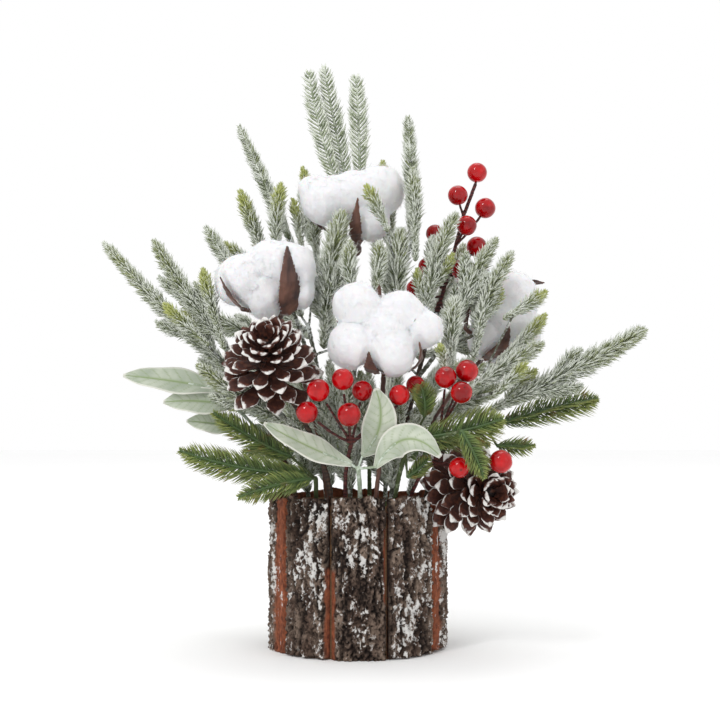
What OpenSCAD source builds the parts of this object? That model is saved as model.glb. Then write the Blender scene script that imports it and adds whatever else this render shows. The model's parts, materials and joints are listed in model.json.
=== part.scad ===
// Artificial tabletop tree. Picks of frosted fir, cotton bolls, pine cones, red berries,
// felt leaves and green fir stand in a block of foam, in a round pot faced with bark.
// Millimetres. The origin is the middle of the face the pot rests on, +Z is up and the
// front faces -Y.

/* [Pot] */
// Height of the tallest strip of bark
pot_h = 76; // [74:0.5:79]
// Radius of the pot over the bark
pot_r = 45; // [44:0.25:46]
// Thickness of the bark
bark_t = 5; // [4:0.25:6]
// Gap between two strips of bark, in degrees
bark_gap = 1.4; // [1:0.2:2.4]
// Wall of the liner behind the bark
liner_wall = 1.5; // [1:0.25:2]
// Thickness of the base disc
base_t = 4; // [3:0.5:6]
// Height of the foam above the resting face
foam_h = 70; // [66:0.5:71]

/* [Picks] */
// Diameter of a pick's main stem
stem_d = 2.6; // [2:0.1:3]
// Diameter of a side twig
twig_d = 1.5; // [1.2:0.1:1.8]
// Depth that a stem is pushed into the foam
stem_depth = 34; // [20:1:50]
// Size of the needle sleeves, as a share of their listed reach
needle_fill = 1; // [0.7:0.05:1]
// Size of the berries, as a share of their listed radius
berry_fill = 1; // [0.8:0.05:1]
// Half of the gap left in a wire where it is bent to set the pick
bend_gap = 0.5; // [0.4:0.1:0.8]

/* [Cones] */
// Radius over the opened scales of a pine cone
cone_r = 25; // [21:0.5:25]
// Length of a pine cone
cone_len = 40; // [34:0.5:40]
// Number of scales on a pine cone
cone_scales = 36; // [30:1:50]

/* [Hidden] */

// Bark strips: where each starts, in degrees from the front towards +X, how far its top
// stops below pot_h, and how far its foot stops above the resting face.
BARK = [
    [-89, 1.5, 0], [-53, 0.5, 0.8], [-17.5, 0, 0], [19.5, 0.4, 0.6], [58, 1.8, 1.2],
    [94, 0.8, 0], [130, 1.4, 1], [166, 0.2, 0], [201, 1.2, 1.4], [236, 0.6, 0]
];
bark_end = 271;
bark_steps = 10;

// Frosted picks: name, foot of the stem, knee, fork, and its branchlets. A branchlet is
// where it starts, bends and ends, its reach, and the point its twig leaves if not the fork.
FROSTED = [
    ["frosted_left", [-24, -4], [-28, -6, 112], [-44, -11, 119], [
        [[-57, -8, 131], [-94, -6, 161], [-126, -5, 199], 4.6],
        [[-69, -15, 153], [-86, -14, 174], [-100, -14, 199], 4.6, [-57, -8, 131]],
        [[-68, -22, 157], [-72, -23, 170], [-75, -23, 184], 4, [-57, -8, 131]],
        [[-75, -25, 150], [-84, -26, 158], [-93, -26, 167], 3.5, [-57, -8, 131]],
        [[-38, -30, 112], [-56, -34, 121], [-75, -36, 137], 5]]],
    ["frosted_upper_left", [-16, 12], [-18, 14, 150], [-43, 9, 184], [
        [[-53, 13, 190], [-61, 14, 195], [-68, 14, 202], 4],
        [[-49, 11, 197], [-54, 11, 212], [-60, 10, 228], 4.4],
        [[-41, 1, 199], [-42, 1, 214], [-39, 2, 230], 4.6],
        [[-60, 5, 182], [-68, 6, 194], [-77, 8, 209], 3.6],
        [[-35, 12, 204], [-46, 12, 228], [-61, 12, 262], 3.4],
        [[-29, 8, 202], [-30, 7, 212], [-33, 5, 223], 3.2]]],
    ["frosted_centre", [-4, -12], [-4, -12, 125], [0, -18, 150], [
        [[-16, -15, 158], [-15, -15, 185], [-8, -13, 213], 7],
        [[-3, -28, 173], [-5, -28, 185], [-4, -27, 197], 4.4],
        [[8, -27, 173], [11, -26, 185], [10, -25, 197], 4.4],
        [[19, -17, 168], [18, -16, 188], [21, -13, 204], 7],
        [[13, -21, 207], [9, -22, 216], [4, -22, 225], 3.6, [18, -16, 190]],
        [[27, -4, 201], [27, -5, 232], [25, -7, 262], 3.6, [18, -16, 190]],
        [[28, -16, 201], [28, -16, 218], [27, -15, 235], 4.2, [18, -16, 190]],
        [[-14, -20, 112], [-20, -24, 122], [-22, -27, 138], 4.6, [-4, -12, 104]],
        [[3, -22, 108], [3, -26, 118], [1, -28, 134], 4.4, [-4, -12, 98]]]],
    ["frosted_right", [16, -8], [18, -10, 125], [40, -18, 146], [
        [[34, -16, 166], [36, -16, 190], [48, -16, 212], 5.2],
        [[48, -21, 157], [53, -20, 180], [67, -20, 199], 4.8],
        [[58, -25, 153], [61, -24, 172], [74, -24, 192], 4.8],
        [[33, -7, 121], [40, -5, 130], [47, -4, 144], 4.6, [19, -9, 110]]]],
    ["frosted_low_right", [24, -17], [28, -24, 105], [46, -32, 120], [
        [[75, -29, 163], [82, -29, 167], [90, -27, 173], 4, [57, -31, 128]],
        [[73, -14, 144], [84, -12, 152], [92, -11, 163], 4],
        [[44, -35, 143], [44, -35, 156], [46, -34, 169], 5.4],
        [[57, -31, 128], [70, -28, 137], [88, -28, 148], 5],
        [[66, -41, 125], [72, -41, 131], [79, -40, 138], 3.6],
        [[40, -47, 136], [39, -49, 141], [38, -50, 146], 3.2]]],
    ["frosted_long_right", [33, -6], [36, -9, 102], [66, -15, 117], [
        [[70, -16, 119], [108, -18, 136], [139, -17, 155], 6]]],
    ["frosted_back_left", [-14, 26], [-16, 32, 120], [-26, 36, 160], [
        [[-22, 30, 200], [-23, 28, 222], [-29, 26, 243], 4],
        [[-40, 39, 152], [-68, 44, 160], [-94, 42, 174], 4.8],
        [[-36, 36, 176], [-46, 34, 190], [-54, 32, 208], 4.8],
        [[-32, 47, 162], [-44, 60, 174], [-56, 66, 192], 4.8],
        [[-40, 50, 132], [-60, 60, 136], [-82, 64, 146], 4.8, [-22, 34, 146]],
        [[-14, 52, 150], [-14, 68, 160], [-18, 78, 172], 4.8, [-22, 34, 146]],
        [[-26, 42, 108], [-40, 52, 112], [-58, 60, 122], 5, [-17, 31, 104]],
        [[-12, 46, 110], [-10, 58, 116], [-8, 70, 128], 5, [-17, 31, 104]],
        [[-34, 28, 112], [-52, 30, 120], [-72, 32, 132], 5, [-17, 31, 104]]]],
    ["frosted_back_right", [14, 24], [14, 32, 120], [24, 37, 158], [
        [[17, 30, 202], [15, 29, 225], [13, 29, 247], 4],
        [[40, 38, 168], [50, 38, 184], [56, 38, 204], 4.8],
        [[34, 48, 160], [46, 60, 172], [56, 66, 188], 4.8],
        [[42, 39, 148], [64, 42, 154], [86, 40, 166], 4.8, [22, 36, 144]],
        [[36, 49, 132], [54, 60, 134], [76, 64, 142], 4.8, [22, 36, 144]],
        [[18, 46, 176], [12, 56, 192], [10, 58, 212], 4.8],
        [[26, 42, 108], [40, 52, 112], [56, 60, 120], 5, [15, 31, 102]],
        [[16, 46, 116], [16, 60, 124], [18, 70, 138], 5, [15, 31, 102]],
        [[38, 26, 112], [56, 26, 120], [76, 26, 130], 5, [15, 31, 102]]]]
];

// Silver twigs at the top, in the same form.
SILVER = [
    ["silver_top", [-4, 30], [-6, 32, 150], [-7, 32, 226], [
        [[-10, 31, 233], [-21, 31, 262], [-26, 31, 295], 3.6],
        [[-5, 36, 234], [-12, 36, 264], [-18, 36, 299], 3.6],
        [[1, 29, 234], [1, 29, 262], [-1, 29, 292], 3.6]]]
];

// Cotton bolls: name, foot, knee, end of the stem, locks of lint [centre, radius], and
// bracts [foot, knee, tip, half width].
COTTON = [
    ["cotton_front", [8, -33], [12, -39, 105], [12, -35, 138], [
        [[-1, -44, 165], 10.5], [[20, -44, 162], 9.5], [[31, -44, 154], 8.5],
        [[-3, -46, 146], 10.5], [[16, -46, 143], 11], [[12, -42, 154], 12]],
        [[[2, -34, 148], [-8, -38, 151], [-10, -44, 158], 3],
         [[8, -40, 134], [5, -52, 132], [5, -56, 143], 4.5],
         [[24, -40, 135], [32, -47, 137], [28, -53, 148], 3],
         [[8, -33, 160], [10, -32, 170], [10, -38, 176], 3]]],
    ["cotton_left", [-15, -8], [-18, -12, 120], [-40, -11, 164], [
        [[-57, -20, 179], 12], [[-32, -21, 186], 11], [[-45, -20, 171], 10.5],
        [[-43, -18, 188], 10.5], [[-29, -21, 173], 8]],
        [[[-33, -24, 163], [-32, -38, 176], [-34, -30, 195], 6.8],
         [[-56, -24, 165], [-62, -34, 170], [-66, -30, 180], 3],
         [[-46, -8, 170], [-48, -5, 180], [-48, -8, 192], 5]]],
    ["cotton_top", [-4, 4], [-6, 6, 140], [-2, 7, 198], [
        [[-16, 2, 222], 12], [[11, 2, 227], 12], [[-3, 4, 224], 12.5],
        [[7, -1, 210], 8.5], [[-24, 1, 228], 6]],
        [[[-1, -4, 201], [-2, -14, 206], [0, -13, 221], 3.8],
         [[2, 14, 204], [4, 20, 214], [2, 19, 226], 4.5],
         [[-12, 8, 206], [-24, 10, 212], [-28, 8, 220], 4]]],
    ["cotton_right", [26, 6], [32, 8, 118], [67, 12, 146], [
        [[60, 10, 178], 11], [[79, 8, 174], 12], [[80, 8, 157], 12],
        [[67, 8, 152], 11], [[70, 8, 166], 11]],
        [[[64, 4, 142], [74, -9, 146], [75, -7, 158], 4.6],
         [[54, 4, 158], [53, -6, 163], [57, -5, 172], 2.6],
         [[80, 14, 182], [90, 10, 182], [95, 7, 181], 3.6],
         [[70, 20, 150], [74, 24, 160], [73, 22, 172], 4.8]]]
];

// Berry picks: name, foot, knee, points of the main stem above it, and berries
// [centre, radius, point on the main stem, bend of the twig].
BERRY = [
    ["berry_tall", [18, 4], [26, 2, 130],
        [[41, 0, 170], [45, 0, 184], [49, 0, 199], [53, 0, 214], [56, 0, 222], [59, 0, 230]], [
        [[60, 0, 236], 5, 5, [60, 0, 233]], [[50, -3, 224], 5, 3, [51, -1, 219]],
        [[64, 0, 218], 5.2, 2, [60, 0, 210]], [[54, -8, 208], 5, 2, [51, -5, 203]],
        [[60, 4, 199], 5.2, 1, [55, 3, 191]], [[51, -9, 186], 5, 1, [49, -4, 183]],
        [[39, 6, 206], 4.6, 1, [42, 4, 197]], [[35, 5, 189], 4.6, 0.5, [38, 4, 181]],
        [[29, 6, 178], 4.6, 0.25, [33, 6, 172]]]],
    ["berry_front", [-6, -34], [-7, -37, 88],
        [[-3, -49, 101]], [
        [[-18, -62, 125], 5.2, 0, [-10, -58, 112]], [[-23, -62, 115], 5, 0, [-13, -58, 105]],
        [[-4, -63, 114], 5.4, 0, [-4, -57, 105]], [[-7, -60, 130], 5, 0, [-6, -53, 116]],
        [[2, -50, 125], 4.8, 0, [0, -47, 114]], [[19, -53, 123], 4.8, 0, [10, -43, 112]],
        [[27, -40, 128], 4.4, 0, [12, -46, 110]]]],
    ["berry_right", [24, -26], [27, -32, 86],
        [[36, -40, 92], [38, -43, 105]], [
        [[40, -57, 131], 5, 1, [40, -45, 120]], [[50, -54, 134], 5.2, 1, [44, -44, 122]],
        [[47, -60, 124], 5, 1, [44, -46, 118]], [[46, -58, 90], 4.8, 0, [41, -50, 90]],
        [[64, -67, 93], 5.2, 0, [50, -68, 90]]]]
];

// Felt-leaf picks: name, foot, knee, fork, and leaves [start, bend, tip, half width, facing].
FELT = [
    ["lambs_ear_left", [-30, -12], [-31, -12, 92], [-50, -15, 108], [
        [[-66, -19, 126], [-90, -19, 131], [-114, -19, 133], 7.8, [0.1, -0.8, 0.6]],
        [[-60, -20, 118], [-76, -22, 122], [-94, -22, 120], 7, [0, -0.9, 0.4]],
        [[-58, -18, 108], [-70, -20, 110], [-83, -20, 111], 5.5, [0, -0.9, 0.4]]]],
    ["lambs_ear_front", [1, -34], [1, -36, 82], [0, -46, 89], [
        [[-3, -48, 91], [-22, -55, 98], [-43, -57, 110], 6.5, [0.2, -0.8, 0.5]],
        [[2, -48, 95], [15, -53, 108], [8, -58, 126], 8, [-0.1, -1, 0.2]],
        [[8, -52, 90], [21, -61, 113], [37, -66, 95], 7.5, [0.3, -0.9, 0.3]]]]
];

// Green fir picks: name, foot, knee, fork, and fronds [start, bend, tip, half width, facing].
GREEN = [
    ["green_left", [-20, -26], [-20, -30, 78], [-20, -34, 84], [
        [[-24, -36, 86], [-52, -37, 86], [-84, -36, 97], 7.2, [0, -0.85, 0.5]],
        [[-22, -41, 84], [-36, -47, 83], [-55, -49, 76], 6, [0, -0.85, 0.5]],
        [[-32, -27, 94], [-48, -28, 100], [-69, -30, 115], 6, [0, -0.85, 0.5]]]],
    ["green_right", [17, -29], [19, -32, 86], [22, -44, 96], [
        [[27, -51, 103], [46, -56, 105], [66, -58, 112], 8.6, [0, -0.85, 0.5]],
        [[31, -43, 113], [32, -45, 120], [29, -47, 128], 6, [0, -1, 0.1]],
        [[46, -67, 107], [51, -70, 99], [56, -72, 86], 5, [0.3, -1, 0.2]],
        [[23, -43, 85], [28, -45, 88], [33, -46, 94], 4.2, [0, -0.9, 0.4]]]],
    ["green_far_right", [34, 4], [40, 3, 95], [64, -4, 107], [
        [[72, -3, 110], [96, -2, 118], [119, -3, 122], 8, [0, -0.6, 0.8]],
        [[68, -12, 99], [76, -14, 98], [86, -14, 99], 5, [0, -0.7, 0.7]]]],
    ["green_back", [6, 34], [6, 38, 82], [6, 46, 90], [
        [[0, 54, 94], [-12, 70, 98], [-24, 88, 94], 8, [0, 0.4, 0.9]],
        [[12, 54, 94], [28, 68, 98], [44, 80, 94], 8, [0, 0.4, 0.9]],
        [[-8, 48, 92], [-32, 54, 96], [-62, 54, 94], 8, [0, 0.6, 0.8]],
        [[20, 46, 92], [42, 48, 98], [70, 46, 98], 8, [0, 0.6, 0.8]]]]
];

// Pine cones: name, foot, knee, end of the wire, middle of the cone, direction of its apex.
CONES = [
    ["pine_cone_left", [-12, -31], [-14, -34, 100], [-41, -38, 134], [-40, -52, 146], [0.05, -0.75, 0.65]],
    ["pine_cone_right", [32, -15], [38, -14, 104], [50, -19, 80], [61, -38, 82], [0.45, -0.85, 0.2]]
];

// Picks whose wire can be bent by hand: the lower wire stays in the foam.
BENDABLE = [
    FROSTED[5], SILVER[0], BERRY[0], FELT[0], CONES[1]
];

SLEEVE = [0.5, 0.85, 1, 1, 0.95, 0.75, 0.3];
LEAF = [0.15, 0.62, 0.95, 1, 0.88, 0.6, 0.12];
BRACT = [0.7, 1, 0.9, 0.55, 0.12];
sleeve_sides = 8;
rod_sides = 5;
leaf_t = 0.6;
frond_t = 2.4;
liner_r = pot_r - bark_t;
glue_line = 0.1;

function pick_names(table, endings) = [for (p = table) for (e = endings) str(p[0], e)];
function two_digits(i) = i < 9 ? str("0", i + 1) : str(i + 1);

// ---- Paths and swept solids ----

function unit(v) = v / norm(v);
function last(list) = list[len(list) - 1];
function middle_of(locks) = [for (lock = locks) 1 / len(locks)] * [for (lock = locks) lock[0]];
function first_of(list, n) = [for (i = [0:n - 1]) list[i]];

// Points along a smooth bend from a to c, pulled towards b.
function bend(a, b, c, steps) =
    [for (i = [0:steps]) let (t = i / steps) (1 - t) * (1 - t) * a + 2 * t * (1 - t) * b + t * t * c];

// A stem's path: up through the foam, then round its knee to the fork.
function stem_path(foot, knee, fork) = concat(
    [[foot[0], foot[1], foam_h - stem_depth]],
    bend([foot[0], foot[1], foam_h], knee, fork, 4)
);

function heading(path, i) = unit(path[min(i + 1, len(path) - 1)] - path[max(i - 1, 0)]);

// A direction square to the path's own plane, for paths that have no flat side.
function square_to(path) =
    let (
        chord = last(path) - path[0],
        out = cross(path[floor(len(path) / 2)] - path[0], chord)
    )
    norm(out) > 1 ? unit(out) : unit(cross(chord, [0.1, 1, 0.2]));

function ring(path, i, wide, thick, facing, sides) =
    let (
        along = heading(path, i),
        side = unit(cross(along, facing)),
        face = cross(side, along)
    )
    [for (k = [0:sides - 1]) path[i] + wide * cos(360 * k / sides) * side + thick * sin(360 * k / sides) * face];

// Oval section swept along a path; wide and thick list its half sizes at each point.
module sweep(path, wide, thick, facing, sides) {
    rings = len(path);
    points = [for (i = [0:rings - 1]) each ring(path, i, wide[i], thick[i], facing, sides)];
    first_end = [for (k = [sides - 1:-1:0]) k];
    last_end = [for (k = [0:sides - 1]) (rings - 1) * sides + k];
    wall = [for (i = [0:rings - 2]) for (k = [0:sides - 1])
        let (a = i * sides + k, b = i * sides + (k + 1) % sides)
        each [[a, b, b + sides], [a, b + sides, a + sides]]];
    polyhedron(points, concat([first_end], wall, [last_end]));
}

module wire(path, d) {
    half = [for (p = path) d / 2];
    sweep(path, half, half, square_to(path), 6);
}

// The same wire as a chain of short rods, for wires that join others.
module rods(path, d) {
    for (i = [0:len(path) - 2])
        hull() {
            translate(path[i]) sphere(d = d, $fn = rod_sides);
            translate(path[i + 1]) sphere(d = d, $fn = rod_sides);
        }
}

// Envelope of a branchlet's needles.
module sleeve(start, knee, tip, reach) {
    path = bend(start, knee, tip, len(SLEEVE) - 1);
    half = SLEEVE * reach * needle_fill;
    sweep(path, half, half, square_to(path), sleeve_sides);
}

module blade(start, knee, tip, half_width, half_t, outline, facing, sides) {
    path = bend(start, knee, tip, len(outline) - 1);
    sweep(path, outline * half_width, [for (w = outline) half_t * (0.5 + w / 2)], facing, sides);
}

// The two parts of a wire on either side of the place where it is bent.
module wire_below(path, d) {
    shorter = first_of(path, len(path) - 1);
    gap = bend_gap * unit(last(path) - last(shorter));
    wire(concat(shorter, [last(path) - gap]), d);
}

module wire_above(pivot, next, d) {
    wire([pivot + bend_gap * unit(next - pivot), (pivot + next) / 2, next], d);
}

// ---- Pot ----

module pot_base() {
    color("tan")
    cylinder(r = liner_r - liner_wall - glue_line, h = base_t, $fn = 96);
}

module pot_liner() {
    rim = foam_h + 1;
    color("saddlebrown")
    difference() {
        cylinder(r = liner_r, h = rim, $fn = 96);
        translate([0, 0, -1])
        cylinder(r = liner_r - liner_wall, h = rim + 2, $fn = 96);
    }
}

module floral_foam() {
    color("olivedrab")
    translate([0, 0, base_t])
    cylinder(r = liner_r - liner_wall - 2 * glue_line, h = foam_h - base_t, $fn = 96);
}

// One strip: a slice of tube with a ridged outer face.
module bark_strip(i) {
    from = BARK[i][0];
    to = (i == len(BARK) - 1 ? bark_end : BARK[i + 1][0]) - bark_gap;
    inner = liner_r + glue_line;
    function turn(k) = from + (to - from) * k / bark_steps - 90;
    function outer(k) =
        pot_r - (k == 0 || k == bark_steps ? 1.6 : 0.7 + 0.7 * sin(150 * k + 70 * i));
    slice = concat(
        [for (k = [0:bark_steps]) outer(k) * [cos(turn(k)), sin(turn(k))]],
        [for (k = [bark_steps:-1:0]) inner * [cos(turn(k)), sin(turn(k))] / cos(2)]
    );
    color("rosybrown")
    translate([0, 0, BARK[i][2]])
    linear_extrude(height = pot_h - BARK[i][1] - BARK[i][2])
    polygon(slice);
}

// ---- Fir picks ----

// A twig's path from its root to most of the way up its sleeve.
function core_path(root, b) = concat([root], first_of(bend(b[0], b[1], b[2], 3), 3));

module fir_stem(pick, shade) {
    fork = pick[3];
    color(shade) {
        rods(stem_path(pick[1], pick[2], fork), stem_d);
        for (b = pick[4])
            rods(core_path(is_undef(b[4]) ? fork : b[4], b), twig_d);
    }
}

// The part of a bendable pick's stem above its bend.
module bent_fir_stem(pick, shade) {
    pivot = pick[3];
    color(shade)
    for (b = pick[4])
        if (len(pick[4]) > 1) rods(core_path(pivot + bend_gap * unit(b[0] - pivot), b), twig_d);
        else wire(core_path(pivot + bend_gap * unit(b[0] - pivot), b), twig_d);
}

module fir_needles(pick, shade) {
    color(shade)
    for (b = pick[4])
        sleeve(b[0], b[1], b[2], b[3]);
}

// ---- Cotton ----

module cotton_stem(boll) {
    color("saddlebrown") {
        rods(stem_path(boll[1], boll[2], boll[3]), stem_d);
        translate(boll[3])
        sphere(r = 4, $fn = 12);
        for (b = boll[5])
            rods([boll[3], b[0]], twig_d * 1.6);
        for (b = boll[5])
            blade(b[0], b[1], b[2], b[3], 0.5, BRACT, unit(b[1] - middle_of(boll[4])), 6);
    }
}

module cotton_lint(boll) {
    color("white")
    for (lock = boll[4])
        translate(lock[0])
        rotate([0, 0, 90])
        sphere(r = lock[1], $fn = 48);
}

// ---- Pine cones ----

// Turns +Z to a direction.
module aim(direction) {
    d = unit(direction);
    rotate([0, acos(d[2]), atan2(d[1], d[0])])
    children();
}

module cone_scale(reach, width, lift) {
    rotate([0, -lift, 0])
    hull() {
        translate([2, 0, 0])
        cube([1, 3, 1.6], center = true);
        translate([reach - width / 2, 0, 0])
        cylinder(d = width, h = 1.4, center = true, $fn = 6);
    }
}

module pine_cone(cone) {
    rise = cone_len * 0.72;
    color("#4a2f26")
    translate(cone[4])
    aim(cone[5])
    translate([0, 0, -cone_len / 2]) {
        cylinder(r1 = 7, r2 = 3, h = cone_len * 0.9, $fn = 16);
        for (k = [0:cone_scales - 1]) {
            t = k / (cone_scales - 1);
            translate([0, 0, 3 + rise * t])
            rotate([0, 0, 137.5 * k])
            cone_scale(cone_r - 1 - 13 * pow(t, 2.2), 10.5 - 5 * t, -6 + 64 * t);
        }
    }
}

module cone_wire(cone) {
    color("#3b2a20")
    wire(stem_path(cone[1], cone[2], cone[3]), stem_d);
}

module bent_cone_wire(cone) {
    base = cone[4] - cone_len * 0.5 * unit(cone[5]);
    color("#3b2a20")
    wire_above(cone[3], base, stem_d);
}

// ---- Berries ----

// A point on the main stem, counted in stretches from its first point.
function along(points, at) =
    let (i = floor(at), f = at - i)
    f == 0 ? points[i] : points[i] * (1 - f) + points[i + 1] * f;

module berry_twigs(pick) {
    for (b = pick[4])
        let (root = along(pick[3], b[2]), path = bend(root, b[3], b[0], 4))
        rods(first_of(path, 4), twig_d);
}

module berry_stem(pick) {
    points = pick[3];
    color("#3a1a1a") {
        rods(stem_path(pick[1], pick[2], points[0]), stem_d * 0.85);
        if (len(points) > 1)
            rods(points, stem_d * 0.85);
        berry_twigs(pick);
    }
}

module bent_berry_stem(pick) {
    points = pick[3];
    start = points[0] + bend_gap * unit(points[1] - points[0]);
    color("#3a1a1a") {
        rods(concat([start], [for (i = [1:len(points) - 1]) points[i]]), stem_d * 0.85);
        berry_twigs(pick);
    }
}

module berries(pick) {
    color("red")
    for (b = pick[4])
        translate(b[0])
        sphere(r = b[1] * berry_fill, $fn = 32);
}

// ---- Leaves and fronds ----

// Stem of a pick of leaves or fronds: a wire up to the fork, and a twig into each blade.
module blade_stem(pick, bendable, shade) {
    fork = pick[3];
    color(shade) {
        if (!bendable)
            rods(stem_path(pick[1], pick[2], fork), stem_d);
        for (b = pick[4])
            let (root = bendable ? fork + bend_gap * unit(b[0] - fork) : fork)
            rods(concat([root], first_of(bend(b[0], b[1], b[2], 6), 3)), twig_d);
    }
}

module blades(pick, half_t, outline, shade) {
    color(shade)
    for (b = pick[4])
        blade(b[0], b[1], b[2], b[3], half_t, outline, b[4], 8);
}

// ---- Lower wires of the bendable picks ----

module bend_wires() {
    color("#3b2a20")
    for (pick = BENDABLE) {
        pivot = is_num(pick[3][0]) ? pick[3] : pick[3][0];
        wire_below(stem_path(pick[1], pick[2], pivot), stem_d);
    }
}

// ---- Nodes ----

pot_base();
pot_liner();
floral_foam();
for (i = [0:len(BARK) - 1])
    bark_strip(i);
for (pick = FROSTED) {
    bendable = pick[0] == "frosted_long_right";
    union() {
        if (bendable) bent_fir_stem(pick, "gray");
        else fir_stem(pick, "gray");
    }
    fir_needles(pick, "#b9c4ae");
}
for (pick = SILVER) {
    bendable = pick[0] == "silver_top";
    union() {
        if (bendable) bent_fir_stem(pick, "gray");
        else fir_stem(pick, "gray");
    }
    fir_needles(pick, "#c3cbc4");
}
for (boll = COTTON) {
    cotton_stem(boll);
    cotton_lint(boll);
}
for (cone = CONES) {
    bendable = cone[0] == "pine_cone_right";
    union() {
        if (bendable) bent_cone_wire(cone);
        else cone_wire(cone);
    }
    pine_cone(cone);
}
for (pick = BERRY) {
    bendable = pick[0] == "berry_tall";
    union() {
        if (bendable) bent_berry_stem(pick);
        else berry_stem(pick);
    }
    berries(pick);
}
for (pick = FELT) {
    bendable = pick[0] == "lambs_ear_left";
    blade_stem(pick, bendable, "#9fb3a4");
    blades(pick, leaf_t, LEAF, "#b7cbbd");
}
for (pick = GREEN) {
    blades(pick, frond_t, SLEEVE, "#4f7a3a");
    blade_stem(pick, false, "#5a5a34");  // green_stems
}
bend_wires();
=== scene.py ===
"""Looks of the artificial tabletop tree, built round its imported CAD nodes. Metres, +Z up, front at -Y."""

import math

import bpy
import numpy as np
from mathutils import Matrix, Vector, noise
from mathutils.bvhtree import BVHTree
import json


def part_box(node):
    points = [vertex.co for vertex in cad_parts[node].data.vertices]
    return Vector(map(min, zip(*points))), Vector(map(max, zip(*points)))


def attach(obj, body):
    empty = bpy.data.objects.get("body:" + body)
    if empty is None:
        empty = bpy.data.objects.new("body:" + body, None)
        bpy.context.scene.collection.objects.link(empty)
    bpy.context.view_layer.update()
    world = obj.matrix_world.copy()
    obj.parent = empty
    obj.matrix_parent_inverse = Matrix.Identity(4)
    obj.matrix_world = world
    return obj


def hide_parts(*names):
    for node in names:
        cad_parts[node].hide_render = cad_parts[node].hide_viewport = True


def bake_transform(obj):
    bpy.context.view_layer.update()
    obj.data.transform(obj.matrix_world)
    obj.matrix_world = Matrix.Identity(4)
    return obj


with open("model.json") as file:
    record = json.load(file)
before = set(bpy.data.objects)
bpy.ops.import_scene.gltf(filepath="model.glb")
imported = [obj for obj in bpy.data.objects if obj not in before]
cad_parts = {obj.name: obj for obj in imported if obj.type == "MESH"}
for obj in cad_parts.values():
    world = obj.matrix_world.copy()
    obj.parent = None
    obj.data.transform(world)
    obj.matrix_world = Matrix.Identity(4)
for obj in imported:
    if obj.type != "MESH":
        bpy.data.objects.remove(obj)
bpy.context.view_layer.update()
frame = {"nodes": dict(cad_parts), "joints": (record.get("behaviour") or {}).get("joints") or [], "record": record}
nodes = frame["nodes"]
body = {n: b for b, members in frame["record"]["behaviour"]["bodies"].items() for n in members}
rng = np.random.default_rng(11)
MM = 0.001
GOLDEN = math.radians(137.5)


# ---- Reading the CAD nodes ----

def welded(node):
    """Points and triangles of a CAD node, with its split corners merged."""
    mesh = nodes[node].data
    mesh.calc_loop_triangles()
    points = np.empty(len(mesh.vertices) * 3)
    mesh.vertices.foreach_get("co", points)
    points = points.reshape(-1, 3)
    tris = np.empty(len(mesh.loop_triangles) * 3, int)
    mesh.loop_triangles.foreach_get("vertices", tris)
    cells = np.round(points * 2e5).astype(int)
    _, first, back = np.unique(cells, axis=0, return_index=True, return_inverse=True)
    return points[first], back.ravel()[tris].reshape(-1, 3)


def islands(node):
    """The separate solids of a CAD node, each as points and triangles."""
    points, tris = welded(node)
    label = np.arange(len(points))
    while True:
        lowest = label.copy()
        np.minimum.at(lowest, tris.ravel(), np.repeat(label[tris].min(1), 3))
        if (lowest == label).all():
            break
        label = lowest
    found = []
    for value in np.unique(label[tris]):
        mine = np.flatnonzero(label == value)
        place = np.full(len(points), -1)
        place[mine] = np.arange(len(mine))
        found.append((points[mine], place[tris[(label[tris] == value).all(1)]]))
    return found


def unit(v):
    """Vectors scaled to a length of 1."""
    v = np.asarray(v, float)
    return v / np.maximum(np.linalg.norm(v, axis=-1, keepdims=True), 1e-12)


def rings(points, tris, sides=8):
    """The rings of points of a swept solid, from its wider end to its narrower one."""
    near = [set() for _ in points]
    for a, b, c in tris:
        near[a] |= {b, c}
        near[b] |= {a, c}
        near[c] |= {a, b}
    axis = np.linalg.svd(points - points.mean(0), full_matrices=False)[2][0]
    layer = set(np.argsort(points @ axis)[:sides])
    seen, found = set(layer), [points[sorted(layer)]]
    while len(seen) < len(points):
        layer = {j for i in layer for j in near[i]} - seen
        if not layer:
            break
        seen |= layer
        found.append(points[sorted(layer)])
    sizes = [np.linalg.norm(ring - ring.mean(0), axis=1).max() for ring in found]
    return found if sizes[0] > sizes[-1] else found[::-1]


def smooth(values, places):
    """Values read along a list at places from 0 to 1, on a smooth curve through the list."""
    values = np.asarray(values, float)
    padded = np.concatenate([[2 * values[0] - values[1]], values, [2 * values[-1] - values[-2]]])
    at = np.clip(np.asarray(places) * (len(values) - 1), 0, len(values) - 1 - 1e-9)
    i = at.astype(int)
    f = at - i
    if values.ndim > 1:
        f = f[:, None]
    a, b, c, d = (padded[i + k] for k in range(4))
    square = 2 * a - 5 * b + 4 * c - d
    cube = 3 * b - a - 3 * c + d
    return 0.5 * (2 * b + (c - a) * f + square * f * f + cube * f ** 3)


# ---- Making pieces ----

def piece(name, points, faces, paint, replaced=(), rides=None, **attributes):
    """A smooth mesh in the row frame, with per-point attributes, riding on its node's body."""
    mesh = bpy.data.meshes.new(name)
    mesh.from_pydata([tuple(p) for p in points], [], [tuple(int(i) for i in f) for f in faces])
    mesh.validate()
    mesh.shade_smooth()
    for key, values in attributes.items():
        mesh.attributes.new(key, "FLOAT", "POINT").data.foreach_set("value", np.asarray(values, np.float32))
    mesh.materials.append(paint)
    thing = bpy.data.objects.new(name, mesh)
    bpy.context.scene.collection.objects.link(thing)
    if rides or replaced:
        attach(thing, rides or body[replaced[0]])
    if replaced:
        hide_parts(*replaced)
    return thing


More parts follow.
